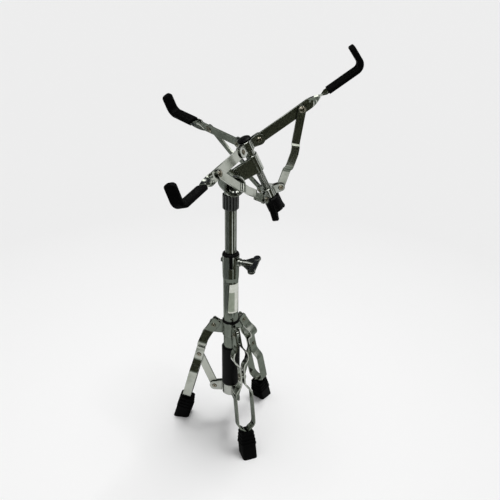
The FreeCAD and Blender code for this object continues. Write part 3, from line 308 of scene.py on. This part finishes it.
def thread():
    """A ribbon in the thread's form that winds up the core and fades out over a turn at both ends."""
    whole_turns = int((THREAD_TOP - THREAD_FOOT) / THREAD_PITCH)
    rows = whole_turns * THREAD_STEPS + 1
    points = []
    for row in range(rows):
        turns = row / THREAD_STEPS
        fade = min(1.0, turns, (rows - 1 - row) / THREAD_STEPS)
        for pitch_share, depth_share in THREAD_FORM_SHARES:
            radius = THREAD_ROOT + (THREAD_CREST - THREAD_ROOT) * depth_share * fade
            points.append(shaft_point(turns, radius, THREAD_FOOT + (turns + pitch_share) * THREAD_PITCH))
    return points, grid_faces(rows, len(THREAD_FORM_SHARES), flip=True)


def turned_core(start):
    """The rod under the thread and the plain end above it, with points counted from start."""
    shoulder = THREAD_TOP + THREAD_PITCH
    profile = ((TIP_RADIUS, SHAFT_FOOT), (CORE_RADIUS, THREAD_FOOT), (CORE_RADIUS, shoulder),
               (SHAFT_RADIUS, shoulder), (SHAFT_RADIUS, SHAFT_HEAD))
    points = []
    for radius, height in profile:
        for side in range(SHAFT_SIDES):
            points.append(shaft_point(side / SHAFT_SIDES, radius, height))
    faces = []
    for ring in range(len(profile) - 1):
        ring_start = start + ring * SHAFT_SIDES
        for side in range(SHAFT_SIDES):
            here = ring_start + side
            beside = ring_start + (side + 1) % SHAFT_SIDES
            faces.append((here, beside, beside + SHAFT_SIDES, here + SHAFT_SIDES))
    end = start + len(points)
    faces.append(tuple(reversed(range(start, start + SHAFT_SIDES))))
    faces.append(tuple(range(end - SHAFT_SIDES, end)))
    return points, faces


def threaded_shaft():
    """The basket shaft with a real thread below its sleeve and a plain end above it."""
    points, faces = thread()
    core_points, core_faces = turned_core(len(points))
    points += core_points
    faces += core_faces
    piece = mesh_piece("threaded_shaft", points, faces, MATERIALS["shaft_steel"], "head")
    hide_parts("basket_shaft")


threaded_shaft()


# Paper label on the base tube

TUBE_RADIUS = 0.0127
LABEL_FOOT = 0.241
LABEL_TOP = 0.296
LABEL_MIDDLE = math.radians(-82)
LABEL_HALF_WRAP = math.radians(42)
LABEL_HALF_LEAN = math.radians(7)
LABEL_COLUMNS = 24
LABEL_LEVELS = 14
PAPER_LIFT = 0.00012
RIPPLE_DEPTH = 0.00003
RIPPLE_PER_COLUMN = 1.3
RIPPLE_PER_LEVEL = 2.1
FIELD_FOOT = 0.244
FIELD_TOP = 0.281
FIELD_BLUR = 0.0005
FIELD_SIDE = math.radians(-79)
FIELD_SIDE_BLUR = math.radians(1)


def paper(name):
    """Pale stock with a plain toned field inside its margins, a little soiled and creased."""
    margin = (0.93, 0.95, 0.88)
    toned = (0.40, 0.45, 0.36)
    clean = (1.0, 1.0, 1.0)
    soiled = (0.72, 0.73, 0.66)
    paint = Paint(name)
    soil = paint.noise(scale=160.0, detail=6.0, rough=0.65)
    crease = paint.noise(scale=400.0, detail=3.0, vector=paint.stretched((1.0, 1.0, 0.4)))
    height = paint.coordinate("Z")
    around = paint.combine("ARCTAN2", paint.coordinate("Y"), paint.coordinate("X"))
    below = paint.fall(height, FIELD_TOP - FIELD_BLUR, FIELD_TOP + FIELD_BLUR)
    above = paint.rise(height, FIELD_FOOT - FIELD_BLUR, FIELD_FOOT + FIELD_BLUR)
    beside = paint.fall(around, FIELD_SIDE - FIELD_SIDE_BLUR, FIELD_SIDE + FIELD_SIDE_BLUR)
    field = paint.combine("MINIMUM", paint.combine("MINIMUM", below, above), beside)
    stock = paint.tint(field, margin, toned)
    stain = paint.tint(paint.rise(soil, start=0.35, end=0.75), clean, soiled)
    normal = paint.bump(crease, strength=0.25, depth=0.0002)
    colour = paint.mix(1.0, stock, stain, kind="MULTIPLY")
    return paint.finish(colour, paint.spread(soil, low=0.35, high=0.6), normal)


def tube_label():
    """A blank paper label wrapped part of the way round the base tube, a little out of true."""
    points = []
    for level in range(LABEL_LEVELS + 1):
        height = LABEL_FOOT + (LABEL_TOP - LABEL_FOOT) * level / LABEL_LEVELS
        middle = LABEL_MIDDLE + LABEL_HALF_LEAN * (2 * level / LABEL_LEVELS - 1)
        for column in range(LABEL_COLUMNS + 1):
            angle = middle + LABEL_HALF_WRAP * (2 * column / LABEL_COLUMNS - 1)
            ripple = RIPPLE_DEPTH * math.sin(column * RIPPLE_PER_COLUMN + level * RIPPLE_PER_LEVEL)
            radius = TUBE_RADIUS + PAPER_LIFT + ripple
            points.append((radius * math.cos(angle), radius * math.sin(angle), height))
    faces = grid_faces(LABEL_LEVELS + 1, LABEL_COLUMNS + 1)
    mesh_piece("tube_label", points, faces, paper("label_paper"), "base")


tube_label()


# Floor

FLOOR_REACH = 40.0
FLOOR_CORNERS = [(x * FLOOR_REACH, y * FLOOR_REACH, 0) for x, y in ((-1, -1), (1, -1), (1, 1), (-1, 1))]


def floor_material(name):
    """A white floor with painted light: brighter near the stand and a little darker away from it."""
    near = (0.955, 0.955, 0.955)
    far = (0.862, 0.862, 0.862)
    paint = Paint(name)
    # Painted light: the floor's colour is brighter near the stand and darker further out
    fade = paint.rise(paint.length(paint.place), start=0.3, end=1.0)
    return paint.finish(paint.tint(fade, near, far), roughness=0.9, specular=0.1)


stage_mesh("studio_floor", FLOOR_CORNERS, QUAD, floor_material("studio_floor"))


# Cards that only show in polished metal, as the photograph's room does

def card_material(name, deep, pale):
    paint = Paint(name)
    colour = paint.tint(paint.noise(scale=3.0), deep, pale)
    return paint.finish(colour, roughness=1.0, specular=0.0)


def softbox_material(name):
    paint = Paint(name)
    glow = {"Emission Color": (1.0, 1.0, 0.97, 1), "Emission Strength": 1.8}
    paint.fill(paint.shader, {"Base Color": (0.8, 0.8, 0.8, 1), **glow})
    return paint.material


DARK = card_material("dark_card", deep=(0.045, 0.049, 0.032), pale=(0.090, 0.095, 0.068))
DIM = card_material("dim_card", deep=(0.12, 0.13, 0.125), pale=(0.22, 0.235, 0.225))
GREY = card_material("grey_card", deep=(0.22, 0.24, 0.22), pale=(0.38, 0.41, 0.38))
SHADE_LIFT = 0.0005
SHADE_STEPS = 24
CEILING_HEIGHT = 1.05
CEILING_PLAN = ((-0.75, -0.75), (0.75, -0.75), (0.75, 0.45), (-0.75, 0.45))
SOFTBOX_CORNERS = [(-0.55, -0.42, 0.96), (-0.05, -0.46, 1.00), (0.00, -0.02, 1.02), (-0.50, 0.02, 0.98)]
SMALL_SOFTBOX_CORNERS = [(0.20, -0.48, 0.99), (0.42, -0.48, 0.99), (0.42, -0.26, 1.02), (0.20, -0.26, 1.02)]
CARD_DISTANCE = 0.38


def mirror_mesh(name, points, faces, material):
    """A stage mesh that the camera, matt surfaces and shadows leave out."""
    piece = stage_mesh(name, points, faces, material)
    piece.visible_camera = False
    piece.visible_diffuse = False
    piece.visible_shadow = False


def floor_shade(name, inner, outer, start, end):
    """A grey ring sector on the floor, from one azimuth to another in degrees."""
    radii = (inner, outer)
    points = []
    for step in range(SHADE_STEPS + 1):
        angle = math.radians(start + (end - start) * step / SHADE_STEPS)
        for radius in radii:
            points.append((radius * math.cos(angle), radius * math.sin(angle), SHADE_LIFT))
    mirror_mesh(name, points, grid_faces(SHADE_STEPS + 1, len(radii)), GREY)


def studio_card(name, material, azimuth, width, top, foot=0.0):
    """An upright card beside the stand, at an azimuth in degrees."""
    angle = math.radians(azimuth)
    centre = Vector((math.cos(angle), math.sin(angle), 0)) * CARD_DISTANCE
    side = Vector((-math.sin(angle), math.cos(angle), 0)) * (width / 2)
    low = Vector((0, 0, foot))
    high = Vector((0, 0, top))
    corners = [centre - side + low, centre + side + low, centre + side + high, centre - side + high]
    mirror_mesh(name, corners, QUAD, material)


floor_shade("floor_shade_far", inner=0.235, outer=0.62, start=-270, end=60)
floor_shade("floor_shade_middle", inner=0.01, outer=0.085, start=0, end=360)
floor_shade("floor_shade_near", inner=0.125, outer=0.235, start=-100, end=60)
CEILING = card_material("ceiling_card", deep=(0.030, 0.032, 0.042), pale=(0.055, 0.058, 0.075))
mirror_mesh("ceiling_card", [(x, y, CEILING_HEIGHT) for x, y in CEILING_PLAN], QUAD, CEILING)
SOFTBOX = softbox_material("softbox")
mirror_mesh("softbox", SOFTBOX_CORNERS, QUAD, SOFTBOX)
mirror_mesh("small_softbox", SMALL_SOFTBOX_CORNERS, QUAD, SOFTBOX)
studio_card("card_front", DARK, azimuth=-105, width=0.27, top=0.62)
studio_card("card_front_side", DARK, azimuth=-77, width=0.115, top=0.62, foot=0.27)
studio_card("card_front_gap", DARK, azimuth=-130, width=0.12, top=0.62)
studio_card("card_front_right", DARK, azimuth=-53, width=0.22, top=0.80)
studio_card("card_right_front", GREY, azimuth=-20, width=0.12, top=1.2)
studio_card("card_right", GREY, azimuth=18, width=0.28, top=0.44)
studio_card("card_back_right", DARK, azimuth=62, width=0.24, top=1.0)
studio_card("card_back", GREY, azimuth=108, width=0.32, top=1.0)
studio_card("card_left", DIM, azimuth=165, width=0.34, top=1.0)
studio_card("card_front_left", DIM, azimuth=-152, width=0.26, top=0.62)


# Light

SUN_STRENGTH = 1.62
SUN_WIDTH = math.radians(20)
SUN_DIRECTION = Vector((-0.20, -0.10, -1.0))
WORLD_LIGHT = 0.48
WORLD_SEEN = 0.847


def overhead_light(name):
    light = bpy.data.lights.new(name, "SUN")
    light.energy = SUN_STRENGTH
    light.angle = SUN_WIDTH
    sun = bpy.data.objects.new(name, light)
    sun.rotation_euler = SUN_DIRECTION.to_track_quat("-Z", "Y").to_euler()
    scene.collection.objects.link(sun)


def studio_world(name):
    """A white surround that is brighter to the camera and in reflections than it is as a light."""
    world = bpy.data.worlds.new(name)
    world.use_nodes = True
    sky = Nodes(world.node_tree)
    to_camera = sky.add("ShaderNodeLightPath", "Is Camera Ray", {})
    in_mirror = sky.add("ShaderNodeLightPath", "Is Glossy Ray", {})
    seen = sky.combine("MAXIMUM", to_camera, in_mirror)
    strength = sky.spread(seen, WORLD_LIGHT, WORLD_SEEN, start=0.0, end=1.0)
    sky.fill(sky.tree.nodes["Background"], {"Color": (1.0, 1.0, 1.0, 1), "Strength": strength})
    scene.world = world


overhead_light("overhead_light")
studio_world("studio_world")


# Camera, solved from the photograph

PHOTO_WIDTH_PIXELS = 500
FOCAL_PIXELS = 611.5
SENSOR_WIDTH_MM = 36.0
CLIP_START = 0.01
CAMERA_PLACE = Vector((-0.28277, -0.84000, 0.79800))
CAMERA_RIGHT = Vector((0.93824, -0.34571, 0.01358))
CAMERA_UP = Vector((0.14337, 0.42420, 0.89415))
CAMERA_BACK = Vector((-0.31487, -0.83698, 0.44757))


def photo_camera(name):
    optics = bpy.data.cameras.new(name)
    optics.sensor_width = SENSOR_WIDTH_MM
    optics.lens = FOCAL_PIXELS / PHOTO_WIDTH_PIXELS * SENSOR_WIDTH_MM
    optics.clip_start = CLIP_START
    camera = bpy.data.objects.new(name, optics)
    scene.collection.objects.link(camera)
    turn = Matrix((CAMERA_RIGHT, CAMERA_UP, CAMERA_BACK)).transposed().to_4x4()
    camera.matrix_world = Matrix.Translation(CAMERA_PLACE) @ turn
    return camera


scene.camera = photo_camera("photo_camera")
scene.view_settings.view_transform = "Standard"
